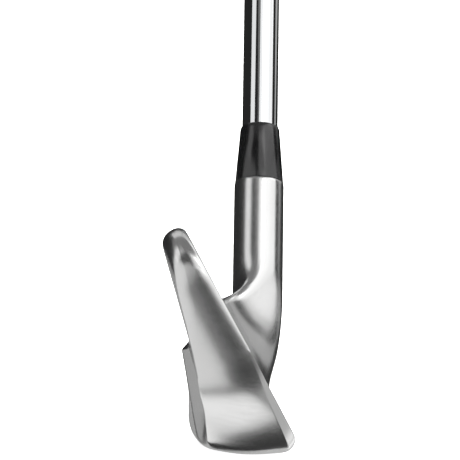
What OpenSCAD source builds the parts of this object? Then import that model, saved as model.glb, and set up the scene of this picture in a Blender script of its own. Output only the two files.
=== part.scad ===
/* [Club] */
// Length along the shaft axis, from the ground to the end of the grip cap
club_len = 940; // [840:5:1130]
// Angle between the shaft axis and the ground
lie = 62.3; // [58:0.1:66]
// Angle of the face plane back from vertical
loft = 31.6; // [28:0.1:36]

/* [Head] */
// From the shaft axis at the ground to the outermost point of the toe
blade_len = 78; // [72:0.5:84]
// From the shaft axis at the ground to the point that the sole rests on
heel_to_contact = 38; // [36:0.5:40]
// How far the shaft axis passes ahead of the point that the sole rests on
axis_ahead = 8; // [6:0.5:9]
// Where the face plane meets the ground, ahead of the same point
face_ahead = 13.7; // [12.5:0.1:14.5]
// Height of the topline where the blade ends at the heel, carried to the face plane
heel_h = 31.8; // [30:0.2:33]
// The same at its highest, by the toe
toe_h = 54.4; // [52:0.2:57]
// Thickness of the topline, square to the face
top_t = 5.9; // [5:0.1:7.5]
// How fast the upper back falls away from the face, for each mm down
back_wedge = 0.22; // [0.16:0.005:0.26]
// Height of the muscle pad's upper edge at the toe
ledge_toe_h = 30.6; // [28:0.2:33]
// Height of the muscle pad's upper edge at the heel
ledge_heel_h = 16.5; // [14:0.2:18]
// How far the muscle pad stands out behind the upper back
pad_step = 2.1; // [1:0.1:2.8]
// From the point of contact back to the rear of the sole
sole_back = 12.7; // [11:0.1:14]
// Radius of the sole from toe to heel
sole_camber = 170; // [140:5:260]
// Rise of the sole from the point of contact to the leading edge
sole_bounce = 1.2; // [0.6:0.1:2]
// Radius of the leading edge
lead_r = 3; // [2:0.1:3.5]
// Radius of the toe's upper corner, seen square to the face
toe_top_r = 12; // [9:0.5:14]
// Radius of the toe's lower corner, seen square to the face
toe_low_r = 21.6; // [18:0.2:24]
// Radius of the toe wall's dome, from the face to the back
toe_crown = 26; // [22:1:60]

/* [Hosel] */
// Wall of the hosel around the bore
hosel_wall = 1.71; // [1.5:0.01:2.2]
// From the ground to the end of the hosel, along the shaft axis
hosel_len = 59.3; // [56:0.1:66]
// Depth of the shaft's bore from the end of the hosel
bore_depth = 30; // [26:0.5:34]
// Chamfer at the end of the hosel
hosel_chamfer = 0.25; // [0.1:0.05:0.4]

/* [Face plate] */
// Thickness of the face plate
plate_t = 2.4; // [1.8:0.1:3]
// Rim of the body left around the face plate
plate_rim = 3.2; // [2.6:0.1:4]
// Clearance around the face plate, taken up by its weld
plate_fit = 0.05; // [0.02:0.01:0.1]
// Number of scorelines
score_count = 14; // [8:1:15]
// Distance between scorelines, up the face
score_pitch = 3.4; // [2.8:0.05:3.6]
// Width of a scoreline
score_w = 0.8; // [0.5:0.05:0.9]
// Depth of a scoreline
score_deep = 0.45; // [0.3:0.05:0.5]
// Length of the full scorelines
score_len = 45; // [40:0.5:48]

/* [Inside the head] */
// Ledge that the face plate sits on
seat_w = 1.6; // [1.2:0.1:2.4]
// Wall of the body behind the hollow
back_wall = 2.2; // [1.6:0.1:2.6]
// Thickness of the sole below the hollow
floor_t = 4.4; // [4:0.1:6]
// Thickness of the toe wall beside the hollow
toe_wall = 7.5; // [7:0.1:10]
// Length of the toe weight
weight_len = 22; // [12:0.5:26]
// Height of the toe weight, up the face
weight_h = 12; // [8:0.5:14]
// Gap around the pieces in the hollow
hollow_fit = 0.1; // [0.05:0.05:0.2]

/* [Shaft] */
// Diameter of the shaft at its tip
tip_d = 9.4; // [9:0.02:9.6]
// Diameter of the shaft at its butt
butt_d = 15.24; // [14.4:0.02:15.6]
// Wall of the shaft at its tip
tip_wall = 0.7; // [0.5:0.05:1]
// Wall of the shaft at its butt
butt_wall = 0.4; // [0.35:0.05:0.6]
// Number of steps in the shaft
step_count = 13; // [6:1:16]
// From the ground to the first step
first_step = 190; // [150:5:240]
// Thickness of the adhesive around the shaft in the hosel
glue_t = 0.12; // [0.08:0.01:0.15]
// Length of the swing-weight pin in the shaft's tip
tip_weight_len = 22; // [12:1:30]
// Clearance of that pin, on its diameter
pin_fit = 0.6; // [0.3:0.1:0.8]
// Taper of that pin over its length
pin_taper = 0.4; // [0:0.1:0.8]

/* [Ferrule] */
// Length of the ferrule
ferrule_len = 15.7; // [12:0.1:25]
// How far the ferrule's wide end stays inside the hosel, all round
ferrule_inset = 0.18; // [0:0.01:0.3]
// Wall of the ferrule at its upper end
ferrule_wall = 0.5; // [0.35:0.05:0.8]
// Clearance of the ferrule on the shaft
ferrule_fit = 0.05; // [0.02:0.01:0.1]

/* [Grip] */
// Length of the grip without its cap
grip_len = 267; // [240:1:290]
// Wall of the grip at its mouth
grip_wall1 = 1.08; // [0.8:0.02:2]
// Wall of the grip below its cap
grip_wall2 = 4.58; // [3:0.02:6]
// How far the grip cap stands out, all round
cap_lip = 1.2; // [1:0.1:2]
// Height of the grip cap above the end of the shaft
cap_h = 4; // [3:0.1:6]
// Diameter of the vent hole in the grip cap
vent_d = 3.2; // [2:0.1:4]
// Thickness of the tape under the grip
tape_t = 0.3; // [0.15:0.05:0.5]
// Length of the plain band on the shaft
band_len = 32; // [20:1:36]
// Thickness of that band
band_t = 0.12; // [0.1:0.01:0.2]
// Space between the band and the mouth of the grip
band_gap = 9; // [6:0.5:12]

/* [Hidden] */
$fn = 96;

// Places along the shaft axis, measured from the ground
butt_at = club_len - cap_h;
grip_at = butt_at - grip_len;
band_at = grip_at - band_gap - band_len;
bore_at = hosel_len - bore_depth;
tip_at = bore_at + 0.5;
last_step = band_at - 6;
// Diameters that follow the shaft
bore_d = tip_d + 2 * glue_t;
hosel_d = bore_d + 2 * hosel_wall;
ferrule_bore = tip_d + 2 * ferrule_fit;
ferrule_d1 = hosel_d - 2 * ferrule_inset;
ferrule_d2 = ferrule_bore + 2 * ferrule_wall;
tape_d = butt_d + 2 * tape_t;
grip_d1 = tape_d + 2 * grip_wall1;
grip_d2 = tape_d + 2 * grip_wall2;
cap_d = grip_d2 + 2 * cap_lip;

step_pitch = (last_step - first_step) / (step_count - 1);

// The blade's ends, toe towards -Y, and the slope of its topline within the face plane
toe_y = heel_to_contact - blade_len;
heel_y = heel_to_contact - 13;
heel_s = heel_h / cos(loft);
top_mid = [toe_y + toe_top_r, toe_h / cos(loft) - toe_top_r];
to_mid = top_mid - [heel_y, heel_s];
top_angle = atan2(to_mid[1], -to_mid[0]) + asin(toe_top_r / norm(to_mid));

// Rounded paths. A corner is [position, radius], an arc has arc_n sides, and it takes up to
// that share of each side
arc_n = 4;
arc_share = 0.46;
function unit(v) = v / norm(v);
function arc_length_to(p, a, b, r, most) =
    let (da = unit(a - p), db = unit(b - p), c = max(-1, da * db))
    min(max(0.2, r * sqrt((1 + c) / (1 - c))), most * norm(a - p), most * norm(b - p));
function corner_arc(p, a, b, r, n, most = arc_share) =
    let (l = arc_length_to(p, a, b, r, most), da = unit(a - p), db = unit(b - p),
         w = sqrt(min(1, (1 - da * db) / 2)))
    [for (k = [0:n]) let (u = k / n, f0 = (1 - u) * (1 - u), f1 = 2 * u * (1 - u) * w, f2 = u * u)
        (f0 * (p + da * l) + f1 * p + f2 * (p + db * l)) / (f0 + f1 + f2)];
function round_loop(corners, n) =
    let (m = len(corners))
    [for (i = [0:m - 1])
        each corner_arc(corners[i][0], corners[(i + m - 1) % m][0], corners[(i + 1) % m][0],
                        corners[i][1], n)];
// A loop with flats[i] more points between the arcs of corners i and i + 1
function fill_loop(loop, flats) =
    let (n = arc_n + 1, m = len(flats))
    [for (i = [0:m - 1]) each concat(
        [for (k = [0:n - 1]) loop[i * n + k]],
        [for (k = [1:1:flats[i]])
            lerp(loop[i * n + n - 1], loop[((i + 1) % m) * n], k / (flats[i] + 1))])];
function round_path(corners, n, most = arc_share) =
    let (m = len(corners))
    concat([corners[0][0]],
           [for (i = [1:m - 2])
               each corner_arc(corners[i][0], corners[i - 1][0], corners[i + 1][0],
                               corners[i][1], n, most)],
           [corners[m - 1][0]]);

// Point at a share v of a path's length
function path_steps(path) = [for (i = [1:len(path) - 1]) norm(path[i] - path[i - 1])];
function sum_to(v, n) = n <= 0 ? 0 : v[n - 1] + sum_to(v, n - 1);
function path_at(path, steps, d, i = 0) =
    i >= len(steps) - 1 || d <= steps[i]
        ? path[i] + (path[i + 1] - path[i]) * min(1, d / steps[i])
        : path_at(path, steps, d - steps[i], i + 1);
function path_share(path, v) =
    let (steps = path_steps(path))
    path_at(path, steps, v * sum_to(steps, len(steps)));

// Outline of the blade from its outermost point, over the top and under the sole: [y, s],
// where s is the distance up the face plane
toe_mid_z = 29;
toe_mid_s = toe_mid_z / cos(loft);
top_corner = [toe_y, heel_s + (heel_y - toe_y) * tan(top_angle)];
top_rail = round_path([[[toe_y, toe_mid_s], 0], [top_corner, toe_top_r], [[heel_y, heel_s], 0]], 12);

// The same below, as [y, lift], where lift is the height above the sole's own section
toe_edge_y = toe_y + 9.5;
toe_edge_lift = 4.6;
toe_lift = 1.22;
toe_low_lift = 12.9;
sole_turn_y = toe_y + 15;
// The sole's section is an arc, and its lowest point is this far above its corner
sole_sag = 0.505;
function camber_at(y) = y * y / (2 * sole_camber);
sole_steps = [0.35, 0.7, 1];
low_rail = round_path(concat(
    [[[toe_y, (toe_mid_z - sole_bounce) / toe_lift], 0],
     [[toe_y, toe_low_lift], toe_low_r],
     [[toe_edge_y, toe_edge_lift], 0.8],
     [[sole_turn_y, camber_at(sole_turn_y) + 0.35], 12]],
    [for (k = [0:len(sole_steps) - 1])
        let (y = sole_turn_y * (1 - sole_steps[k]) + heel_y * sole_steps[k])
        [[y, camber_at(y)], 60]]), 12, 0.97);

// Section of the blade at a share v from the toe. Corners run from the leading edge, up the face,
// over the topline, down the back and along the sole
face_x = face_ahead;
function face_point(y, s, t) =
    [face_x - s * sin(loft) - t * cos(loft), y, s * cos(loft) - t * sin(loft)];
function lerp(a, b, u) = a + (b - a) * u;
function clamp(a, low, high) = max(low, min(high, a));
function ease(u) = let (c = clamp(u, 0, 1)) c * c * (3 - 2 * c);
function topline_s(y) = min(heel_s + (heel_y - y) * tan(top_angle), toe_h / cos(loft));
function back_t(y, s) = top_t + max(0, topline_s(y) - s) * back_wedge;
function blade_corners(v) =
    let (top = path_share(top_rail, v),
         low = path_share(low_rail, v),
         lift = low[1],
         low_y = low[0],
         // The lower toe rises square to the face, the sole stays level
         toeward = ease((toe_edge_y + 1 - low_y) / 9),
         nose_z = sole_bounce + lift * lerp(1, toe_lift, toeward),
         nose = [face_x - nose_z * tan(loft), low_y, nose_z],
         nose_s = nose_z / cos(loft),
         heelward = ease((low_y - toe_y - 40) / 25),
         rear_z = 0.9 + lift * lerp(1, 0.93, toeward),
         rear_x = heelward * 2.5 - sole_back + min(lift, toe_edge_lift) * 0.26
                  - max(0, rear_z - 6.5) * 0.25,
         rear = [rear_x, low_y, rear_z],
         rest = lerp([-2, low_y, lift - sole_sag], lerp(nose, rear, 0.55), toeward),
         ledge_z = lerp(ledge_toe_h, ledge_heel_h, clamp((top[0] - toe_y) / (heel_y - toe_y), 0, 1)),
         top_f = face_point(top[0], top[1], 0),
         top_b = face_point(top[0], top[1], back_t(top[0], top[1])),
         // Where the upper back meets the ledge
         step_s = clamp((ledge_z + 6) / cos(loft), nose_s + 2, top[1] - 1),
         step_y = lerp(low_y, top[0], clamp((step_s - nose_s) / (top[1] - nose_s), 0, 1)),
         pad = ease((step_y - toe_y - 10) / 7),
         tall = ease((top[1] - nose_s - 14) / 16),
         step_p = lerp(lerp(rear, top_b, 0.55), face_point(step_y, step_s, back_t(step_y, step_s)),
                       tall),
         pad_p = lerp(step_p, rear, 0.085) - [pad * pad_step, 0, 0],
         wall_p = lerp(pad_p, rear, 0.62) + [(1 - pad) * tall * 2.2, 0, 0])
    [[nose, min(lead_r, (top[1] - nose_s) * 0.3)], [top_f, 2.3], [top_b, lerp(1.2, 3.6, tall)],
     [step_p, 0.5], [pad_p, 0.9], [wall_p, 3], [rear, lerp(0.8, 3.2, ease((low_y - toe_y - 8) / 6))],
     [rest, 40]];
// Points added on the flats between the corners: face, topline, upper back, ledge, pad, sole
flats = [5, 3, 2, 0, 1, 0, 2, 3];

// Where the plain hosel starts, at its topline side and at its heel side
hosel_top_at = 40;
hosel_heel_at = 19;
axis_dir = [0, cos(lie), sin(lie)];
axis_down = [0, sin(lie), -cos(lie)];
axis_foot = [axis_ahead, heel_to_contact, 0];
// Angle around the hosel where each corner's arc starts and ends, from the topline side
// towards the face
arc_turns = [[144, 112], [38, 8], [-8, -38], [-66, -74], [-80, -90], [-104, -116], [-128, -148],
             [-164, -176], [-216]];
hosel_turns = [for (i = [0:7]) each concat(
    [for (k = [0:arc_n]) lerp(arc_turns[i][0], arc_turns[i][1], k / arc_n)],
    [for (k = [1:1:flats[i]]) lerp(arc_turns[i][1], arc_turns[i + 1][0], k / (flats[i] + 1))])];
loop_n = len(hosel_turns);
function hosel_point(j, at, r) =
    axis_foot + axis_dir * at
    - r * (cos(hosel_turns[j]) * axis_down + sin(hosel_turns[j]) * [-1, 0, 0]);
function hosel_start(j) = lerp(hosel_top_at, hosel_heel_at, (1 - cos(hosel_turns[j])) / 2);
// A smooth bend from p0 to p1, whose ends reach towards the crossing of their directions
function cross_yz(a, b) = a[1] * b[2] - a[2] * b[1];
function reach_to(p0, d0, p1, d1) =
    let (turn = cross_yz(d0, d1), span = norm(p1 - p0))
    clamp(abs(cross_yz(p1 - p0, d1) / turn), 0.1 * span, span);
function bend(p0, d0, p1, d1, u, pull) =
    let (a = p0 + d0 * pull * reach_to(p0, d0, p1, d1),
         b = p1 - d1 * pull * reach_to(p1, d1, p0, d0),
         w = 1 - u)
    w * w * w * p0 + 3 * w * w * u * a + 3 * w * u * u * b + u * u * u * p1;
// The upper part of the blade keeps to its plane until the notch, and then turns to the hosel
function blend_point(p0, d0, p1, u) =
    let (high = ease((p0[2] - 5) / 15),
         q = bend(p0, d0, p1, axis_dir, u, lerp(0.66, 0.86, high)),
         plane_x = p0[0] + (p0[2] - q[2]) * tan(loft),
         wait = 0.2 * ease((p0[2] - 12) / 14),
         start_x = lerp(p0[0], plane_x, high),
         x = lerp(start_x, p1[0], ease((u - wait) / (lerp(0.72, 0.92, high) - wait))))
    [x, q[1], q[2]];
function blend_loop(base, before, u) =
    [for (j = [0:loop_n - 1])
        blend_point(base[j], unit(base[j] - before[j]),
                    hosel_point(j, hosel_start(j), hosel_d / 2), u)];

// A stack of loops joined into one closed skin
module skin(loops) {
    n = len(loops[0]);
    m = len(loops);
    points = [for (l = loops) each l];
    sides = [for (i = [0:m - 2], j = [0:n - 1])
        each let (a = i * n + j, b = i * n + (j + 1) % n)
            [[a, b, b + n], [a, b + n, a + n]]];
    first = [[for (j = [0:n - 1]) n - 1 - j]];
    last = [[for (j = [0:n - 1]) (m - 1) * n + j]];
    polyhedron(points, concat(sides, first, last), convexity = 10);
}

toe_shares = [for (k = [0:14]) 0.004 + 0.296 * pow(k / 14, 1.4)];
blade_shares = [for (k = [1:12]) 0.3 + 0.7 * k / 12];
shares = concat(toe_shares, blade_shares);
// The toe wall is domed, which fades out along the blade
function domed(p) =
    let (from_face = max(0, (face_x - p[0] - p[2] * tan(loft)) * cos(loft)),
         near = 1 - ease((p[1] - toe_y) / 14))
    p + [0, near * from_face * from_face / (2 * toe_crown), 0];
blade_loops = [for (v = shares)
    [for (p = fill_loop(round_loop(blade_corners(v), arc_n), flats)) domed(p)]];
base_loop = blade_loops[len(blade_loops) - 1];
before_loop = blade_loops[len(blade_loops) - 2];
heel_loops = [for (k = [1:14]) blend_loop(base_loop, before_loop, k / 14)];
hosel_edge = hosel_len - hosel_chamfer;
top_loops = [for (u = [0.3, 0.6, 1])
    [for (j = [0:loop_n - 1]) hosel_point(j, lerp(hosel_start(j), hosel_edge, u), hosel_d / 2)]];
end_loop = [[for (j = [0:loop_n - 1]) hosel_point(j, hosel_len, hosel_d / 2 - hosel_chamfer)]];

// Frames of the shaft axis and of the face
module on_axis(at) {
    translate(axis_foot) rotate([lie - 90, 0, 0]) translate([0, 0, at]) children();
}
// +X square out of the face, Z up the face plane
module on_face() {
    translate([face_x, 0, 0]) rotate([0, -loft, 0]) children();
}
// An outline in the face plane, from depth t0 to depth t1 behind it
module face_slab(outline, t0, t1) {
    on_face() translate([-t1, 0, 0]) rotate([90, 0, 90]) linear_extrude(t1 - t0) polygon(outline);
}

// Outline of the face plate, or of what sits behind it, set in from the blade's edges
function face_outline(inset, toe_more = 0) =
    let (drop = inset / cos(top_angle),
         toe = toe_y + inset + toe_more + 0.6,
         heel = heel_y - inset + 0.4,
         low = (sole_bounce + 2.6) / cos(loft) + inset,
         top_toe = top_corner[1] - drop - (toe - toe_y) * tan(top_angle),
         top_heel = heel_s - drop + (heel_y - heel) * tan(top_angle))
    round_loop([[[heel, low], 3], [[heel, top_heel], 3], [[toe, top_toe], toe_top_r - inset],
                [[toe, low], toe_low_r - inset]], 10);
plate_line = face_outline(plate_rim);
hollow_in = plate_rim + seat_w;
hollow_line = face_outline(hollow_in, toe_wall - hollow_in);
filler_line = face_outline(hollow_in + hollow_fit, toe_wall - hollow_in);
hollow_depth = 14;
// Slope of the hollow's floor, up towards the toe
floor_rise = 6;

// The hollow behind the plate, bounded by a plane parallel to the upper back and by the floor
module hollow(outline, start, gap) {
    intersection() {
        face_slab(outline, start, plate_t + hollow_depth);
        on_face() back_wedge_block(gap);
        translate([0, 0, floor_t + gap]) rotate([-floor_rise, 0, 0])
            translate([-30, -60, 0]) cube([60, 120, 60]);
    }
}
// Everything ahead of the back wall, drawn in the face frame with Y along the topline
module back_wedge_block(gap) {
    reach = 80;
    deep = top_t - back_wall - gap;
    translate([0, heel_y, heel_s]) rotate([-top_angle, 0, 0]) rotate([90, 0, 0])
        linear_extrude(2 * reach, center = true)
        polygon([[0, 0], [-deep, 0], [-deep - reach * back_wedge, -reach], [0, -reach]]);
}

module head_body() {
    color("silver")
    difference() {
        skin(concat(blade_loops, heel_loops, top_loops, end_loop));
        on_axis(bore_at) cylinder(h = bore_depth + 1, d = bore_d);
        face_slab(face_outline(plate_rim - plate_fit), -1, plate_t);
        hollow(hollow_line, plate_t / 2, 0);
    }
}

module face_plate() {
    color("gainsboro")
    difference() {
        face_slab(plate_line, 0, plate_t - plate_fit);
        on_face() scorelines();
    }
}
module scorelines() {
    first_s = (sole_bounce + 6.2) / cos(loft);
    heel = heel_y - plate_rim - 2.2;
    for (k = [0:score_count - 1]) {
        s = first_s + k * score_pitch;
        top_y = heel_y - (s - heel_s + plate_rim * 1.9) / tan(top_angle);
        y1 = min(heel, top_y);
        y0 = heel - score_len;
        translate([-score_deep, y0, s - score_w / 2]) cube([score_deep + 1, y1 - y0, score_w]);
    }
}

module toe_weight() {
    color("dimgray")
    intersection() {
        hollow(filler_line, plate_t + hollow_fit, hollow_fit);
        toe_block(0);
    }
}
module toe_block(gap) {
    low = floor_t / cos(loft);
    on_face() translate([-30, toe_y, 0])
        cube([40, toe_wall + weight_len + gap, low + weight_h + gap]);
}

module cavity_filler() {
    color("darkslateblue")
    difference() {
        hollow(filler_line, plate_t + hollow_fit, hollow_fit);
        toe_block(hollow_fit);
    }
}

module shaft_adhesive() {
    color("khaki")
    on_axis(bore_at)
    difference() {
        cylinder(h = bore_depth, d = bore_d);
        translate([0, 0, tip_at - bore_at]) cylinder(h = bore_depth, d = tip_d);
    }
}

module tip_weight() {
    bore = tip_d - 2 * tip_wall;
    color("goldenrod")
    on_axis(tip_at)
    cylinder(h = tip_weight_len, d1 = bore - pin_fit, d2 = bore - pin_fit - pin_taper);
}

module ferrule() {
    color("black")
    on_axis(hosel_len)
    rotate_extrude() {
        bore_r = ferrule_bore / 2;
        lip = 0.05;
        shoulder = ferrule_wall - lip;
        shoulder_len = 1.6;
        end_r = ferrule_d2 / 2;
        polygon(concat(
            [[bore_r, 0], [ferrule_d1 / 2, 0]],
            [for (a = [0:15:90])
                [end_r - shoulder * (1 - cos(a)), ferrule_len - shoulder_len * (1 - sin(a))]],
            [[bore_r, ferrule_len]]));
    }
}

// Outside and inside of the shaft at step k, counted from the tip
function shaft_r(k) = lerp(tip_d, butt_d, k / step_count) / 2;
function shaft_wall(k) = lerp(tip_wall, butt_wall, k / step_count);
function step_at(k) = first_step + (k - 1) * step_pitch;
step_run = 1.2;
module shaft() {
    color("lightgray")
    on_axis(0)
    rotate_extrude()
    polygon(concat(
        [[shaft_r(0) - shaft_wall(0), tip_at], [shaft_r(0), tip_at]],
        [for (k = [1:step_count])
            each [[shaft_r(k - 1), step_at(k)], [shaft_r(k), step_at(k) + step_run]]],
        [[shaft_r(step_count), butt_at], [shaft_r(step_count) - butt_wall, butt_at]],
        [for (k = [step_count:-1:1])
            each [[shaft_r(k) - shaft_wall(k), step_at(k) + step_run],
                  [shaft_r(k - 1) - shaft_wall(k - 1), step_at(k)]]]));
}

module shaft_band() {
    color("white")
    on_axis(band_at)
    difference() {
        cylinder(h = band_len, d = butt_d + 2 * band_t);
        translate([0, 0, -1]) cylinder(h = band_len + 2, d = butt_d);
    }
}

mouth_len = 4;
module grip_tape() {
    color("beige")
    on_axis(grip_at + mouth_len)
    difference() {
        cylinder(h = grip_len - mouth_len, d = tape_d);
        translate([0, 0, -1]) cylinder(h = grip_len, d = butt_d);
    }
}

module grip_sleeve() {
    color("dimgray")
    on_axis(grip_at)
    rotate_extrude() {
        mouth_r = butt_d / 2 + 0.02;
        lip = 0.6;
        flare_len = 6;
        polygon([[mouth_r, 0], [grip_d1 / 2 - lip, 0], [grip_d1 / 2, lip],
                 [grip_d2 / 2, grip_len - flare_len], [cap_d / 2 - 0.3, grip_len],
                 [tape_d / 2, grip_len], [tape_d / 2, mouth_len], [mouth_r, mouth_len]]);
    }
}

module grip_cap() {
    color("black")
    on_axis(butt_at)
    difference() {
        rotate_extrude() cap_profile();
        translate([0, 0, -1]) cylinder(h = cap_h + 2, d = vent_d);
    }
}
module cap_profile() {
    r = cap_d / 2;
    edge = 1.4;
    polygon(concat([[0, 0], [r, 0]],
        [for (a = [0:15:90]) [r - edge * (1 - cos(a)), cap_h - edge + edge * sin(a)]],
        [[0, cap_h]]));
}

head_body();
face_plate();
toe_weight();
cavity_filler();
shaft_adhesive();
tip_weight();
ferrule();
shaft();
shaft_band();
grip_tape();
grip_sleeve();
grip_cap();
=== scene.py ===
import bpy
import bmesh
import math
from mathutils import Matrix, Vector


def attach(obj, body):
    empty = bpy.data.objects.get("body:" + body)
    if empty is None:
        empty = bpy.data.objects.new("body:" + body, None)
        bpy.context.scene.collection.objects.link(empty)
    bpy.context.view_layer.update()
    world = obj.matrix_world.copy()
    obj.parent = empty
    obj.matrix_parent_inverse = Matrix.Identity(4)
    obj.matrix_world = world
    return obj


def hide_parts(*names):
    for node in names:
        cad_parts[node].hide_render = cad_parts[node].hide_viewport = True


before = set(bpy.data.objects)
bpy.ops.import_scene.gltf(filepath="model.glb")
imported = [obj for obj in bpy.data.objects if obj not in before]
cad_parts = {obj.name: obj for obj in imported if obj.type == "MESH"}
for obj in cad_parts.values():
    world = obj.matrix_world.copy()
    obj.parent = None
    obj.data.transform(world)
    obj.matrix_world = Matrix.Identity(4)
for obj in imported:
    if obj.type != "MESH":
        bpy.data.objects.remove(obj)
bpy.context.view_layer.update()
mm = 0.001
print("frame loaded")


# small helpers

def mix(a, b, share):
    return a + (b - a) * share


def clamp(value, low, high):
    return max(low, min(high, value))


def ease(share):
    share = clamp(share, 0.0, 1.0)
    return share * share * (3 - 2 * share)


def addPiece(name, bm, material, replaced=(), smoothAngle=None):
    mesh = bpy.data.meshes.new(name)
    bm.to_mesh(mesh)
    bm.free()
    piece = bpy.data.objects.new(name, mesh)
    bpy.context.scene.collection.objects.link(piece)
    mesh.materials.append(material)
    for face in mesh.polygons:
        face.use_smooth = True
    if smoothAngle:
        mesh.set_sharp_from_angle(angle=math.radians(smoothAngle))
    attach(piece, "root")
    if replaced:
        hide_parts(*replaced)
    return piece


def addBevel(piece, width, segments=2, angle=30):
    bevel = piece.modifiers.new("edges", "BEVEL")
    bevel.width = width * mm
    bevel.segments = segments
    bevel.limit_method = "ANGLE"
    bevel.angle_limit = math.radians(angle)
    bevel.harden_normals = False
    return bevel


def applyModifiers(piece):
    # The finished mesh takes the place of the piece's own, with its modifiers done
    view = bpy.context.evaluated_depsgraph_get()
    done = bpy.data.meshes.new_from_object(piece.evaluated_get(view))
    piece.modifiers.clear()
    piece.data = done
    return piece


# materials

class Finish:
    # One procedural material, built up from its principled shader
    def __init__(self, name, color, roughness, metallic=0.0):
        self.material = bpy.data.materials.new(name)
        self.material.use_nodes = True
        self.tree = self.material.node_tree
        self.shader = self.tree.nodes["Principled BSDF"]
        self.color = color
        self.roughness = roughness
        self.shader.inputs["Base Color"].default_value = (*color, 1)
        self.shader.inputs["Roughness"].default_value = roughness
        self.shader.inputs["Metallic"].default_value = metallic
        self.height = None

    def setValue(self, socket, value):
        self.shader.inputs[socket].default_value = value

    def node(self, kind, **values):
        made = self.tree.nodes.new(kind)
        for key, value in values.items():
            setattr(made, key, value)
        return made

    def link(self, source, target):
        self.tree.links.new(source, target)

    def noise(self, scale, stretch=(1, 1, 1), turn=(0, 0, 0), detail=3.0, rough=0.55):
        # A noise pattern in object space, in cells per metre, stretched along turned axes
        place = self.node("ShaderNodeTexCoord")
        turned = self.node("ShaderNodeMapping", vector_type="POINT")
        turned.inputs["Rotation"].default_value = turn
        stretched = self.node("ShaderNodeMapping", vector_type="POINT")
        stretched.inputs["Scale"].default_value = stretch
        pattern = self.node("ShaderNodeTexNoise")
        pattern.inputs["Scale"].default_value = scale
        pattern.inputs["Detail"].default_value = detail
        pattern.inputs["Roughness"].default_value = rough
        self.link(place.outputs["Object"], turned.inputs["Vector"])
        self.link(turned.outputs["Vector"], stretched.inputs["Vector"])
        self.link(stretched.outputs["Vector"], pattern.inputs["Vector"])
        return pattern.outputs["Fac"]

    def spread(self, source, low, high, fromLow=0.3, fromHigh=0.7):
        ranged = self.node("ShaderNodeMapRange")
        ranged.inputs["From Min"].default_value = fromLow
        ranged.inputs["From Max"].default_value = fromHigh
        ranged.inputs["To Min"].default_value = low
        ranged.inputs["To Max"].default_value = high
        self.link(source, ranged.inputs["Value"])
        return ranged.outputs["Result"]

    def tint(self, source, first, second, fromLow=0.3, fromHigh=0.7):
        ramp = self.node("ShaderNodeValToRGB")
        ramp.color_ramp.elements[0].position = fromLow
        ramp.color_ramp.elements[1].position = fromHigh
        ramp.color_ramp.elements[0].color = (*first, 1)
        ramp.color_ramp.elements[1].color = (*second, 1)
        self.link(source, ramp.inputs["Fac"])
        self.link(ramp.outputs["Color"], self.shader.inputs["Base Color"])

    def vary(self, source, low, high):
        self.link(self.spread(source, low, high), self.shader.inputs["Roughness"])

    def bump(self, source, distance, strength=1.0):
        raised = self.node("ShaderNodeBump")
        raised.inputs["Strength"].default_value = strength
        raised.inputs["Distance"].default_value = distance * mm
        self.link(source, raised.inputs["Height"])
        if self.height:
            self.link(self.height, raised.inputs["Normal"])
        self.height = raised.outputs["Normal"]
        self.link(self.height, self.shader.inputs["Normal"])


lieTurn = math.radians(62.3 - 90)   # the shaft leans back towards +Y

satinSteel = Finish("satinSteel", (0.63, 0.63, 0.62), 0.3, 1.0)
grain = satinSteel.noise(1500, (0.2, 0.2, 3), (lieTurn, 0, 0), detail=2)
cloud = satinSteel.noise(60, detail=2)
satinSteel.tint(cloud, (0.82, 0.82, 0.815), (0.87, 0.87, 0.865))
satinSteel.vary(grain, 0.22, 0.27)
satinSteel.bump(grain, 0.0006, 0.5)

blastedFace = Finish("blastedFace", (0.52, 0.52, 0.51), 0.42, 1.0)
faceGrain = blastedFace.noise(5200, detail=2)
faceLines = blastedFace.noise(900, (1, 0.02, 1), detail=1)
blastedFace.tint(faceLines, (0.50, 0.50, 0.49), (0.57, 0.57, 0.56))
blastedFace.vary(faceGrain, 0.36, 0.48)
blastedFace.bump(faceGrain, 0.012, 0.6)

chrome = Finish("chromePlate", (0.86, 0.87, 0.88), 0.05, 1.0)
smudge = chrome.noise(90, (1, 1, 0.4), detail=4)
chrome.tint(smudge, (0.84, 0.85, 0.86), (0.89, 0.90, 0.905))
chrome.vary(smudge, 0.035, 0.075)

blackGloss = Finish("ferruleBlack", (0.003, 0.003, 0.0032), 0.2)
haze = blackGloss.noise(240, detail=3)
blackGloss.tint(haze, (0.0022, 0.0022, 0.0024), (0.0042, 0.0042, 0.0045))
blackGloss.vary(haze, 0.17, 0.23)
blackGloss.setValue("IOR", 1.7)
blackGloss.setValue("Specular IOR Level", 0.6)

gripRubber = Finish("gripRubber", (0.018, 0.018, 0.019), 0.62)
pore = gripRubber.noise(1400, detail=3)
patch = gripRubber.noise(35, detail=3)
gripRubber.tint(patch, (0.014, 0.014, 0.015), (0.026, 0.026, 0.027))
gripRubber.vary(pore, 0.55, 0.72)
gripRubber.bump(pore, 0.05, 0.6)

capRubber = Finish("capRubber", (0.012, 0.012, 0.013), 0.5)
capPore = capRubber.noise(1800, detail=2)
capRubber.tint(capPore, (0.010, 0.010, 0.011), (0.018, 0.018, 0.019))
capRubber.vary(capPore, 0.42, 0.56)
capRubber.bump(capPore, 0.02, 0.5)


def paintNode(nodeName, material):
    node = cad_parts[nodeName]
    node.data.materials.clear()
    node.data.materials.append(material)


def plainFinish(name, first, second, roughness, metallic, scale, relief):
    made = Finish(name, first, roughness, metallic)
    pattern = made.noise(scale)
    made.tint(pattern, first, second)
    made.vary(pattern, roughness * 0.85, roughness * 1.15)
    made.bump(pattern, relief, 0.5)
    return made.material


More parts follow.
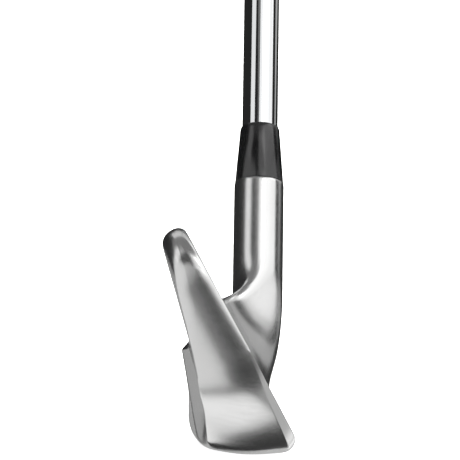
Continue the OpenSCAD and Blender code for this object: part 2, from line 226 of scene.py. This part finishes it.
# For each inner node: its name, two colours, roughness, metal share, grain and relief
innerFacts = {
    "toe_weight": ("tungstenGrey", (0.26, 0.26, 0.27), (0.32, 0.32, 0.33), 0.45, 1.0, 1500, 0.01),
    "cavity_filler": ("fillerFoam", (0.10, 0.11, 0.20), (0.15, 0.16, 0.27), 0.7, 0.0, 900, 0.05),
    "shaft_adhesive": ("amberEpoxy", (0.42, 0.33, 0.12), (0.50, 0.40, 0.16), 0.3, 0.0, 700, 0.01),
    "tip_weight": ("turnedBrass", (0.62, 0.47, 0.20), (0.70, 0.54, 0.25), 0.3, 1.0, 1800, 0.005),
    "grip_tape": ("crepeTape", (0.62, 0.56, 0.42), (0.72, 0.66, 0.52), 0.8, 0.0, 1200, 0.05),
}
for nodeName, innerFact in innerFacts.items():
    paintNode(nodeName, plainFinish(*innerFact))
print("materials made")

# the head

head = {
    "lie": math.radians(62.3), "loft": math.radians(31.6),
    "bladeLength": 78.0, "heelToContact": 38.0, "axisAhead": 8.0, "faceAhead": 13.7,
    "heelHeight": 31.8, "toeHeight": 54.4, "topThickness": 5.9, "backWedge": 0.22,
    "ledgeToeHeight": 30.6, "ledgeHeelHeight": 16.5, "padStep": 2.1, "soleBack": 12.7,
    "camber": 170.0, "bounce": 1.2, "leadRadius": 3.0, "toeTopRadius": 12.0, "toeLowRadius": 21.6,
    "hoselRadius": 6.53, "hoselLength": 59.3, "boreRadius": 4.82, "boreDepth": 30.0,
    "hoselChamfer": 0.25, "hoselTopAt": 40.0, "hoselHeelAt": 19.0, "soleSag": 0.505,
    "toeCrown": 26.0, "domeRun": 14.0, "heelInset": 13.0, "toeMiddle": 29.0, "toeLift": 1.22,
    "toeEdgeIn": 9.5, "toeEdgeHeight": 4.6, "toeLowLift": 12.9,
}
sinLoft, cosLoft, tanLoft = (f(head["loft"]) for f in (math.sin, math.cos, math.tan))
toeY = head["heelToContact"] - head["bladeLength"]
heelY = head["heelToContact"] - head["heelInset"]
heelS = head["heelHeight"] / cosLoft
toeS = head["toeHeight"] / cosLoft
toMid = Vector((toeY + head["toeTopRadius"] - heelY, toeS - head["toeTopRadius"] - heelS))
topSlope = math.atan2(toMid.y, -toMid.x) + math.asin(head["toeTopRadius"] / toMid.length)
shaftDir = Vector((0, math.cos(head["lie"]), math.sin(head["lie"])))
shaftFoot = Vector((head["axisAhead"], head["heelToContact"], 0))


def cornerArc(corner, before, after, radius, sides, most=0.46):
    # Points of the arc that rounds one corner, taking up to that share of each side
    toBefore = (before - corner).normalized()
    toAfter = (after - corner).normalized()
    turn = clamp(toBefore.dot(toAfter), -1, 0.9999)
    reach = max(0.2, radius * math.sqrt((1 + turn) / (1 - turn)))
    reach = min(reach, most * (before - corner).length, most * (after - corner).length)
    weight = math.sqrt((1 - turn) / 2)
    points = []
    for k in range(sides + 1):
        u = k / sides
        parts = ((1 - u) ** 2, 2 * u * (1 - u) * weight, u * u)
        point = (parts[0] * (corner + toBefore * reach) + parts[1] * corner
                 + parts[2] * (corner + toAfter * reach)) / sum(parts)
        points.append(point)
    return points


def roundPath(corners, sides, most=0.46):
    # An open path whose inner corners are rounded
    places = [place for place, radius in corners]
    points = [places[0]]
    for k in range(1, len(corners) - 1):
        points += cornerArc(places[k], places[k - 1], places[k + 1], corners[k][1], sides, most)
    return points + [places[-1]]


def pathShare(path, share):
    # The point at that share of a path's length
    steps = [(b - a).length for a, b in zip(path, path[1:])]
    left = share * sum(steps)
    for k, step in enumerate(steps):
        if left <= step or k == len(steps) - 1:
            return path[k].lerp(path[k + 1], min(1, left / step))
        left -= step


# Where the upper and lower halves of the toe meet, and where the sole turns up into the toe
toeMiddle = head["toeMiddle"]
toeLift = head["toeLift"]
toeEdge = Vector((toeY + head["toeEdgeIn"], head["toeEdgeHeight"]))


def camberAt(y):
    return y * y / (2 * head["camber"])


topRail = roundPath([
    (Vector((toeY, toeMiddle / cosLoft)), 0),
    (Vector((toeY, heelS + (heelY - toeY) * math.tan(topSlope))), head["toeTopRadius"]),
    (Vector((heelY, heelS)), 0)], 24)
soleTurn = toeY + 15
lowRail = roundPath(
    [(Vector((toeY, (toeMiddle - head["bounce"]) / toeLift)), 0),
     (Vector((toeY, head["toeLowLift"])), head["toeLowRadius"]),
     (toeEdge, 0.8),
     (Vector((soleTurn, camberAt(soleTurn) + 0.35)), 12)]
    + [(Vector((mix(soleTurn, heelY, share), camberAt(mix(soleTurn, heelY, share)))), 60)
       for share in (0.35, 0.7, 1)], 16, 0.97)


def facePoint(y, up, back):
    return Vector((head["faceAhead"] - up * sinLoft - back * cosLoft, y,
                   up * cosLoft - back * sinLoft))


def backThickness(y, up):
    topline = min(heelS + (heelY - y) * math.tan(topSlope), toeS)
    return head["topThickness"] + max(0, topline - up) * head["backWedge"]


def bladeCorners(share):
    # Corners of one section: leading edge, topline front and back, ledge, pad, rear, sole
    topY, topS = pathShare(topRail, share)
    lowY, lift = pathShare(lowRail, share)
    toeward = ease((toeEdge.x + 1 - lowY) / 9)
    noseZ = head["bounce"] + lift * mix(1, toeLift, toeward)
    nose = Vector((head["faceAhead"] - noseZ * tanLoft, lowY, noseZ))
    noseS = noseZ / cosLoft
    heelward = ease((lowY - toeY - 40) / 25)
    rearZ = 0.9 + lift * mix(1, 0.93, toeward)
    rearX = (heelward * 2.5 - head["soleBack"] + min(lift, toeEdge.y) * 0.26
             - max(0, rearZ - 6.5) * 0.25)
    rear = Vector((rearX, lowY, rearZ))
    rest = Vector((-2, lowY, lift - head["soleSag"])).lerp(nose.lerp(rear, 0.55), toeward)
    along = clamp((topY - toeY) / (heelY - toeY), 0, 1)
    ledgeZ = mix(head["ledgeToeHeight"], head["ledgeHeelHeight"], along)
    topFront = facePoint(topY, topS, 0)
    topBack = facePoint(topY, topS, backThickness(topY, topS))
    stepS = clamp((ledgeZ + 6) / cosLoft, noseS + 2, topS - 1)
    stepY = mix(lowY, topY, clamp((stepS - noseS) / (topS - noseS), 0, 1))
    pad = ease((stepY - toeY - 10) / 7)
    tall = ease((topS - noseS - 14) / 16)
    step = rear.lerp(topBack, 0.55).lerp(
        facePoint(stepY, stepS, backThickness(stepY, stepS)), tall)
    padTop = step.lerp(rear, 0.085) - Vector((pad * head["padStep"], 0, 0))
    padWall = padTop.lerp(rear, 0.62) + Vector(((1 - pad) * tall * 2.2, 0, 0))
    return [
        (nose, min(head["leadRadius"], (topS - noseS) * 0.3)),
        (topFront, 2.3),
        (topBack, mix(1.2, 3.6, tall)),
        (step, 0.5),
        (padTop, 0.9),
        (padWall, 3),
        (rear, mix(0.8, 3.2, ease((lowY - toeY - 8) / 6))),
        (rest, 40)]


flats = (5, 10, 3, 0, 2, 1, 2, 3)   # points added between one corner's arc and the next
arcSides = 4


# The flat strip ground along the low toe edge of the face: its width grows down from a height
toeStrip = {"least": 0.7, "most": 2.7, "fromHeight": 27.0, "toHeight": 6.0, "fadeAt": 8.0,
            "fadeRun": 9.0, "places": (0, 0.06, 0.5, 0.94, 1)}


def stripArc(corner, before, after, width):
    # A flat with two crisp edges in the place of a rounded corner
    reach = min(width, 0.46 * (before - corner).length, 0.46 * (after - corner).length)
    first = corner + (before - corner).normalized() * reach
    last = corner + (after - corner).normalized() * reach
    return [first.lerp(last, place) for place in toeStrip["places"]]


def bladeRing(share):
    corners = bladeCorners(share)
    count = len(corners)
    arcs = [cornerArc(corners[k][0], corners[k - 1][0], corners[(k + 1) % count][0],
                      corners[k][1], arcSides) for k in range(count)]
    nose = corners[0][0]
    down = clamp((toeStrip["fromHeight"] - nose.z)
                 / (toeStrip["fromHeight"] - toeStrip["toHeight"]), 0, 1)
    strip = stripArc(nose, corners[-1][0], corners[1][0],
                     mix(toeStrip["least"], toeStrip["most"], down))
    fade = 1 - ease((nose.y - toeY - toeStrip["fadeAt"]) / toeStrip["fadeRun"])
    arcs[0] = [soft.lerp(flat, fade) for soft, flat in zip(arcs[0], strip)]
    ring = []
    for k in range(count):
        ring += arcs[k]
        for j in range(1, flats[k] + 1):
            ring.append(arcs[k][-1].lerp(arcs[(k + 1) % count][0], j / (flats[k] + 1)))
    return ring


arcTurns = ((144, 112), (38, 8), (-8, -38), (-66, -74), (-80, -90), (-104, -116), (-128, -148),
            (-164, -176), (-216, -216))
hoselTurns = []
for k in range(len(flats)):
    hoselTurns += [mix(*arcTurns[k], j / arcSides) for j in range(arcSides + 1)]
    hoselTurns += [mix(arcTurns[k][1], arcTurns[k + 1][0], j / (flats[k] + 1))
                   for j in range(1, flats[k] + 1)]


def hoselPoint(turn, at, radius):
    across = Vector((0, shaftDir.z, -shaftDir.y))
    angle = math.radians(turn)
    return (shaftFoot + shaftDir * at
            - radius * (math.cos(angle) * across + math.sin(angle) * Vector((-1, 0, 0))))


def hoselStart(turn):
    return mix(head["hoselTopAt"], head["hoselHeelAt"], (1 - math.cos(math.radians(turn))) / 2)


def reachTo(start, startDir, end, endDir):
    # How far a point goes along its direction to the crossing with the other one
    cross = startDir.y * endDir.z - startDir.z * endDir.y
    gap = end - start
    reach = abs((gap.y * endDir.z - gap.z * endDir.y) / cross)
    return clamp(reach, 0.1 * gap.length, gap.length)


def heelRing(base, before, share):
    # The blade's last section turns up into the hosel
    ring = []
    for start, previous, turn in zip(base, before, hoselTurns):
        end = hoselPoint(turn, hoselStart(turn), head["hoselRadius"])
        startDir = (start - previous).normalized()
        high = ease((start.z - 5) / 15)
        pull = mix(0.66, 0.86, high)
        first = start + startDir * pull * reachTo(start, startDir, end, shaftDir)
        second = end - shaftDir * pull * reachTo(end, shaftDir, start, startDir)
        rest = 1 - share
        bent = (rest ** 3 * start + 3 * rest * rest * share * first
                + 3 * rest * share * share * second + share ** 3 * end)
        onPlane = start.x + (start.z - bent.z) * tanLoft
        wait = 0.2 * ease((start.z - 12) / 14)
        turned = ease((share - wait) / (mix(0.72, 0.92, high) - wait))
        bent.x = mix(mix(start.x, onPlane, high), end.x, turned)
        ring.append(bent)
    return ring


def hoselRing(share, radius=None):
    end = head["hoselLength"] - head["hoselChamfer"]
    return [hoselPoint(turn, mix(hoselStart(turn), end, share), radius or head["hoselRadius"])
            for turn in hoselTurns]


toeShares = [0.0005 + 0.4195 * (k / 26) ** 1.3 for k in range(27)]
bladeShares = [0.42 + 0.58 * k / 11 for k in range(1, 12)]
bladeRings = [bladeRing(share) for share in toeShares + bladeShares]
rings = bladeRings + [heelRing(bladeRings[-1], bladeRings[-2], k / 14) for k in range(1, 15)]
rings += [hoselRing(share) for share in (0.3, 0.6, 0.97, 1)]
hoselEnd = head["hoselLength"]
rings += [[hoselPoint(turn, at, radius) for turn in hoselTurns] for at, radius in (
    (hoselEnd, head["hoselRadius"] - head["hoselChamfer"]),
    (hoselEnd, head["boreRadius"] + 0.2),
    (hoselEnd, head["boreRadius"]),
    (hoselEnd - 0.3, head["boreRadius"]),
    (hoselEnd - head["boreDepth"], head["boreRadius"]),
    (hoselEnd - head["boreDepth"], head["boreRadius"] - 0.3))]


def seamRing(ring):
    # The first section closed to a line: each point meets its partner on the other side,
    # counted both ways from the middle of the front flat
    start, count = arcSides + 1 + flats[0] // 2, len(ring)
    closed = list(ring)
    for k in range(1, count // 2):
        upper, lower = (start + k) % count, (start - k) % count
        closed[upper] = closed[lower] = (ring[upper] + ring[lower]) / 2
    return closed


def loftRings(bm, rings, capStart=True):
    # The first ring is drawn, and each next one is extruded from it and moved into place
    verts = [bm.verts.new(point * mm) for point in rings[0]]
    edges = [bm.edges.new((verts[k - 1], verts[k])) for k in range(len(verts))]
    if capStart:
        bm.faces.new(verts)
    for ring in rings[1:]:
        made = set(bmesh.ops.extrude_edge_only(bm, edges=edges)["geom"])
        nextVerts = []
        for vert, point in zip(verts, ring):
            risen = [edge.other_vert(vert) for edge in vert.link_edges
                     if edge.other_vert(vert) in made]
            risen[0].co = point * mm
            nextVerts.append(risen[0])
        verts = nextVerts
        edges = [piece for piece in made if isinstance(piece, bmesh.types.BMEdge)
                 and all(vert in verts for vert in piece.verts)]
    bm.faces.new(verts)


headMesh = bmesh.new()
loftRings(headMesh, [seamRing(rings[0])] + rings[1:], False)
bmesh.ops.remove_doubles(headMesh, verts=headMesh.verts[:], dist=1e-6)
bmesh.ops.recalc_face_normals(headMesh, faces=headMesh.faces[:])
forgedHead = addPiece("forgedHead", headMesh, satinSteel.material, ["head_body"])
rounding = forgedHead.modifiers.new("rounding", "SUBSURF")
rounding.levels = rounding.render_levels = 2
applyModifiers(forgedHead)


def behindFace(point):
    return (head["faceAhead"] - point.x - point.z * tanLoft) * cosLoft


def faceOutline(inset, toeMore=0):
    # The plate's outline, or its pocket's, set in from the edges of the face
    drop = inset / math.cos(topSlope)
    toe = toeY + inset + toeMore + 0.6
    heel = heelY - inset + 0.4
    low = (head["bounce"] + 2.6) / cosLoft + inset
    slope = math.tan(topSlope)
    topToe = heelS + (heelY - toe) * slope - drop
    topHeel = heelS + (heelY - heel) * slope - drop
    corners = [(Vector((heel, low)), 3), (Vector((heel, topHeel)), 3),
               (Vector((toe, topToe)), head["toeTopRadius"] - inset),
               (Vector((toe, low)), head["toeLowRadius"] - inset)]
    outline = []
    for k in range(4):
        outline += cornerArc(corners[k][0], corners[k - 1][0], corners[(k + 1) % 4][0],
                             corners[k][1], 10)
    return outline


for vert in forgedHead.data.vertices:
    # The toe wall is slightly domed from the face to the back
    point = vert.co / mm
    near = 1 - ease((point.y - toeY) / head["domeRun"])
    vert.co.y += near * max(0, behindFace(point)) ** 2 / (2 * head["toeCrown"]) * mm


def faceBlock(outline, above, below):
    # A closed block with that outline, between two depths behind the face
    bm = bmesh.new()
    loftRings(bm, [[facePoint(y, up, back) for y, up in outline] for back in (above, below)])
    bmesh.ops.recalc_face_normals(bm, faces=bm.faces[:])
    return bm


def cutOut(piece, name, bm):
    data = bpy.data.meshes.new(name)
    bm.to_mesh(data)
    bm.free()
    cutter = bpy.data.objects.new(name, data)
    bpy.context.scene.collection.objects.link(cutter)
    cut = piece.modifiers.new(name, "BOOLEAN")
    cut.operation = "DIFFERENCE"
    cut.solver = "EXACT"
    cut.object = cutter
    applyModifiers(piece)
    bpy.data.objects.remove(cutter)


# A pocket in the face takes the plate
pocketFacts = {"inset": 3.15, "depth": 2.4, "above": 2.0}
cutOut(forgedHead, "platePocket", faceBlock(faceOutline(pocketFacts["inset"]),
                                            -pocketFacts["above"], pocketFacts["depth"]))

# The hollow behind it ends at the back wall and at a floor that rises to the toe
hollowFacts = {"inset": 4.8, "toeMore": 2.7, "from": 1.2, "to": 16.4, "backWall": 2.2,
               "floor": 4.4, "floorRise": math.radians(6)}
f = hollowFacts
hollowMesh = faceBlock(faceOutline(f["inset"], f["toeMore"]), f["from"], f["to"])
deep = head["topThickness"] - f["backWall"]
corner = facePoint(heelY, heelS, deep)
along = facePoint(heelY - 1, heelS + math.tan(topSlope), deep) - corner
down = facePoint(heelY, heelS - 1, deep + head["backWedge"] * math.cos(topSlope)) - corner
backward = along.cross(down)
if backward.x > 0:
    backward = -backward
floorDown = Vector((0, -math.sin(f["floorRise"]), -math.cos(f["floorRise"])))
for place, away in ((corner, backward), (Vector((0, 0, f["floor"])), floorDown)):
    parts = hollowMesh.verts[:] + hollowMesh.edges[:] + hollowMesh.faces[:]
    made = bmesh.ops.bisect_plane(hollowMesh, geom=parts, plane_co=place * mm, plane_no=away,
                                  clear_outer=True)["geom_cut"]
    bmesh.ops.edgeloop_fill(hollowMesh, edges=[
        piece for piece in made if isinstance(piece, bmesh.types.BMEdge)])
bmesh.ops.recalc_face_normals(hollowMesh, faces=hollowMesh.faces[:])
cutOut(forgedHead, "headHollow", hollowMesh)
for face in forgedHead.data.polygons:
    face.use_smooth = True
forgedHead.data.set_sharp_from_angle(angle=math.radians(50))
print("head lofted, faces", len(forgedHead.data.polygons))

# shaft, ferrule and grip, turned about the shaft axis

club = {
    "length": 940.0, "capHeight": 4.0, "gripLength": 267.0, "bandLength": 32.0, "bandGap": 9.0,
    "tipRadius": 4.7, "buttRadius": 7.62, "tipWall": 0.7, "buttWall": 0.4,
    "steps": 13, "firstStep": 190.0, "stepRun": 1.2, "tipAt": 29.8,
}
buttAt = club["length"] - club["capHeight"]
gripAt = buttAt - club["gripLength"]
bandAt = gripAt - club["bandGap"] - club["bandLength"]
stepPitch = (bandAt - 6 - club["firstStep"]) / (club["steps"] - 1)
axisPlace = Matrix.Translation(shaftFoot * mm) @ Matrix.Rotation(lieTurn, 4, "X")


def turnedMesh(profile, at, sides=96):
    # A closed profile of [radius, height] is spun about the shaft axis
    bm = bmesh.new()
    verts = [bm.verts.new((radius * mm, 0, (height + at) * mm)) for radius, height in profile]
    edges = [bm.edges.new((verts[k - 1], verts[k])) for k in range(len(verts))]
    bmesh.ops.spin(bm, geom=verts + edges, cent=(0, 0, 0), axis=(0, 0, 1), dvec=(0, 0, 0),
                   angle=math.tau, steps=sides, use_merge=True, use_duplicate=False)
    bmesh.ops.remove_doubles(bm, verts=bm.verts[:], dist=1e-7)
    bmesh.ops.recalc_face_normals(bm, faces=bm.faces[:])
    bm.transform(axisPlace)
    return bm


def shaftRadius(k):
    return mix(club["tipRadius"], club["buttRadius"], k / club["steps"])


def shaftWall(k):
    return mix(club["tipWall"], club["buttWall"], k / club["steps"])


# Outer and inner walls step together
outer = [(shaftRadius(0), club["tipAt"])]
inner = [(shaftRadius(0) - shaftWall(0), club["tipAt"])]
for k in range(1, club["steps"] + 1):
    at = club["firstStep"] + (k - 1) * stepPitch
    for step, height in ((k - 1, at), (k, at + club["stepRun"])):
        outer.append((shaftRadius(step), height))
        inner.append((shaftRadius(step) - shaftWall(step), height))
outer.append((shaftRadius(club["steps"]), buttAt))
inner.append((shaftRadius(club["steps"]) - shaftWall(club["steps"]), buttAt))
inner.reverse()
shaft = addPiece("steppedShaft", turnedMesh(outer + inner, 0, 128), chrome.material,
                 ["shaft"], 40)
addBevel(shaft, 0.15)

ferruleFacts = {"bore": 4.75, "wide": 6.35, "narrow": 5.25, "length": 15.7, "shoulder": 1.6}
f = ferruleFacts
ferruleProfile = [(f["bore"], 0), (f["wide"] - 0.1, 0), (f["wide"], 0.12)]
for k in range(9):
    angle = math.radians(k * 90 / 8)
    ferruleProfile.append((f["narrow"] - 0.45 * (1 - math.cos(angle)),
                           f["length"] - f["shoulder"] * (1 - math.sin(angle))))
ferruleProfile.append((f["bore"], f["length"]))
addPiece("ferruleSleeve", turnedMesh(ferruleProfile, head["hoselLength"], 128),
         blackGloss.material, ["ferrule"], 50)
print("shaft and ferrule turned")


def roundedStep(radius, height, size, count=4):
    # An outer rim rounded over from its side to its end
    turns = [math.radians(90 * k / count) for k in range(count + 1)]
    return [(radius - size * (1 - math.cos(t)), height - size * (1 - math.sin(t))) for t in turns]


# The plain band below the grip, with a fine groove near each end
bandFacts = {"inside": 7.62, "outside": 7.74, "edge": 0.06, "groove": 1.6, "grooveWide": 0.5,
             "grooveDeep": 0.07}
f = bandFacts
bandLength = club["bandLength"]
bandProfile = [(f["inside"], 0), (f["outside"] - f["edge"], 0), (f["outside"], f["edge"])]
for start in (f["groove"], bandLength - f["groove"] - f["grooveWide"]):
    bandProfile += [(f["outside"], start), (f["outside"] - f["grooveDeep"], start + 0.1),
                    (f["outside"] - f["grooveDeep"], start + f["grooveWide"] - 0.1),
                    (f["outside"], start + f["grooveWide"])]
bandProfile += [(f["outside"], bandLength - f["edge"]), (f["outside"] - f["edge"], bandLength),
                (f["inside"], bandLength)]
addPiece("plainBand", turnedMesh(bandProfile, bandAt, 128), chrome.material,
         ["shaft_band"], 40)

# The grip has a rolled mouth, rows of sunk pads with plain rings between them, and a flared end
gripFacts = {"mouth": 7.64, "tape": 7.92, "mouthLength": 4.0, "outer": 9.0, "top": 12.5,
             "flareAt": 261.0, "end": 13.4, "lip": 0.6, "row": 3.4, "first": 14.0, "last": 247.0,
             "sides": 56, "padRim": 0.42, "padDepth": 0.32, "groupRows": 12, "ringRows": 2}
f = gripFacts
gripLength = club["gripLength"]


def gripRadius(height):
    return mix(f["outer"], f["top"], clamp(height - f["lip"], 0, f["flareAt"]) / f["flareAt"])


gripProfile = [(f["mouth"], 0), (f["outer"] - f["lip"], 0), (f["outer"] - 0.18, 0.18),
               (f["outer"], f["lip"]), (gripRadius(f["first"] - 5), f["first"] - 5)]
rowCount = int((f["last"] - f["first"]) / f["row"])
gripProfile += [(gripRadius(f["first"] + k * f["row"]), f["first"] + k * f["row"])
                for k in range(rowCount + 1)]
gripProfile += [(f["top"], f["flareAt"]), (mix(f["top"], f["end"], 0.3), f["flareAt"] + 3),
                (f["end"] - 0.12, gripLength - 0.6), (f["end"] - 0.35, gripLength),
                (f["tape"], gripLength), (f["tape"], f["mouthLength"]),
                (f["mouth"], f["mouthLength"])]
gripMesh = turnedMesh(gripProfile, 0, f["sides"])
gripMesh.transform(axisPlace.inverted())
pads = []
for face in gripMesh.faces:
    middle = face.calc_center_median() / mm
    radius = math.hypot(middle.x, middle.y)
    row = math.floor((middle.z - f["first"]) / f["row"])
    inRows = 0 <= row < rowCount and row % (f["groupRows"] + f["ringRows"]) < f["groupRows"]
    column = math.floor(math.degrees(math.atan2(middle.y, middle.x)) / (360 / f["sides"]))
    if inRows and radius > gripRadius(middle.z) - 0.3 and (row + column) % 2 == 0:
        pads.append(face)
bmesh.ops.inset_individual(gripMesh, faces=pads, thickness=f["padRim"] * mm,
                           depth=-f["padDepth"] * mm, use_even_offset=True)
gripMesh.transform(Matrix.Translation((0, 0, gripAt * mm)))
gripMesh.transform(axisPlace)
grip = addPiece("mouldedGrip", gripMesh, gripRubber.material, ["grip_sleeve"], 35)
addBevel(grip, 0.08, 2, 25)
print("grip moulded, pads", len(pads))

# The cap has a rounded rim, a shallow ring and a countersunk vent
capFacts = {"radius": 13.7, "height": 4.0, "vent": 1.6, "rim": 1.3, "ring": 8.6, "ringWide": 1.0,
            "ringDeep": 0.45, "sink": 0.5}
f = capFacts
capProfile = [(f["vent"], 0), (f["radius"] - 0.25, 0), (f["radius"], 0.25)]
capProfile += roundedStep(f["radius"], f["height"], f["rim"], 6)
capProfile += [(f["ring"] + f["ringWide"], f["height"]),
               (f["ring"] + f["ringWide"] - 0.25, f["height"] - f["ringDeep"]),
               (f["ring"] + 0.25, f["height"] - f["ringDeep"]), (f["ring"], f["height"]),
               (f["vent"] + f["sink"], f["height"]), (f["vent"], f["height"] - f["sink"])]
addPiece("gripCap", turnedMesh(capProfile, buttAt, 128), capRubber.material,
         ["grip_cap"], 40)

paintNode("face_plate", blastedFace.material)
print("grip and cap turned")

# floor, light and camera

studio = {"floorSize": 24.0, "floorColor": (0.9, 0.9, 0.9), "world": 0.02, "backdrop": 1.0,
          "floorGlow": 0.8}
floorMesh = bmesh.new()
bmesh.ops.create_grid(floorMesh, x_segments=1, y_segments=1, size=studio["floorSize"] / 2,
                      matrix=Matrix.Translation((0, 0, -0.0002)))
floorData = bpy.data.meshes.new("paleFloor")
floorMesh.to_mesh(floorData)
floorMesh.free()
floor = bpy.data.objects.new("paleFloor", floorData)
bpy.context.scene.collection.objects.link(floor)
floorFinish = Finish("paleFloor", studio["floorColor"], 0.6)
floorFinish.setValue("Emission Color", (1, 1, 1, 1))
floorFinish.setValue("Emission Strength", studio["floorGlow"])
floorData.materials.append(floorFinish.material)
floor.visible_glossy = False
floor.visible_shadow = False

world = bpy.data.worlds.new("studio")
bpy.context.scene.world = world
world.use_nodes = True
worldTree = world.node_tree
ambient = worldTree.nodes["Background"]
ambient.inputs["Color"].default_value = (1, 1, 1, 1)
ambient.inputs["Strength"].default_value = studio["world"]
white = worldTree.nodes.new("ShaderNodeBackground")
white.inputs["Color"].default_value = (1, 1, 1, 1)
white.inputs["Strength"].default_value = studio["backdrop"]
seen = worldTree.nodes.new("ShaderNodeLightPath")
either = worldTree.nodes.new("ShaderNodeMixShader")
worldTree.links.new(seen.outputs["Is Camera Ray"], either.inputs["Fac"])
worldTree.links.new(ambient.outputs["Background"], either.inputs[1])
worldTree.links.new(white.outputs["Background"], either.inputs[2])
worldTree.links.new(either.outputs["Shader"], worldTree.nodes["World Output"].inputs["Surface"])

lookAt = Vector((-4.225, 18.0, 47.248)) * mm


def softPanel(name, azimuth, elevation, wide, tall, radiance, inGloss):
    # Azimuth is measured from -Y towards +X. The panel faces the head
    distance = 1.6
    a, e = math.radians(azimuth), math.radians(elevation)
    away = Vector((math.sin(a) * math.cos(e), -math.cos(a) * math.cos(e), math.sin(e)))
    data = bpy.data.lights.new(name, "AREA")
    data.shape = "RECTANGLE"
    data.size = 2 * distance * math.tan(math.radians(wide / 2))
    data.size_y = 2 * distance * math.tan(math.radians(tall / 2))
    data.energy = radiance * data.size * data.size_y * math.pi
    panel = bpy.data.objects.new(name, data)
    panel.location = lookAt + away * distance
    panel.rotation_euler = away.to_track_quat("Z", "Y").to_euler()
    panel.visible_camera = False
    panel.visible_glossy = inGloss
    bpy.context.scene.collection.objects.link(panel)
    return panel


# Azimuth, elevation, width and height of each panel as seen from the head, in degrees, its light,
# and whether it shows in reflections
panels = {
    "keyInner": (6, 33, 34, 44, 0.8, True),
    "keyOuter": (54, 40, 64, 42, 1.0, True),
    "fill": (-71, 31, 24, 26, 0.85, True),
    "lowLeft": (-56, -16, 68, 72, 0.72, True),
    "lowMiddle": (-16, -2, 12, 36, 0.33, True),
    "lowEdge": (1, 6, 6, 28, 0.35, True),
    "lowRight": (44, 4, 80, 30, 1.0, True),
    "under": (-46, -68, 62, 22, 1.0, True),
    "heelSide": (100, -8, 26, 30, 0.3, True),
    "faceSide": (110, 43, 44, 30, 0.6, True),
    "heelGrey": (134, 19, 48, 22, 0.38, True),
    "heelFront": (62, -37, 76, 42, 0.45, True),
    "heelUnder": (125, -42, 50, 44, 0.5, True),
    "rim": (158, -30, 60, 40, 0.5, True),
    "leftLow": (-125, -32, 60, 34, 0.35, True),
    "ceiling": (-30, 80, 110, 70, 0.17, True),
    "backHigh": (175, 48, 70, 30, 0.6, True),
    "floorLight": (0, 89, 70, 70, 6.0, False),
}
for panelName, facts in panels.items():
    softPanel(panelName, *facts)

cameraFacts = {"place": (-71.2, -568.3, 137.8), "roll": 4.222, "lens": 192.03}
cameraData = bpy.data.cameras.new("viewCamera")
cameraData.sensor_width = 36
cameraData.lens = cameraFacts["lens"]
cameraData.clip_start = 0.01
camera = bpy.data.objects.new("viewCamera", cameraData)
camera.location = Vector(cameraFacts["place"]) * mm
ahead = (lookAt - camera.location).normalized()
level = ahead.cross(Vector((0, 0, 1))).normalized()
upright = level.cross(ahead)
roll = math.radians(cameraFacts["roll"])
side = level * math.cos(roll) + upright * math.sin(roll)
top = -level * math.sin(roll) + upright * math.cos(roll)
camera.matrix_world = Matrix.Translation(camera.location) @ Matrix(
    (side, top, -ahead)).transposed().to_4x4()
bpy.context.scene.collection.objects.link(camera)
bpy.context.scene.camera = camera
bpy.context.scene.view_settings.view_transform = "Standard"
print("studio ready")
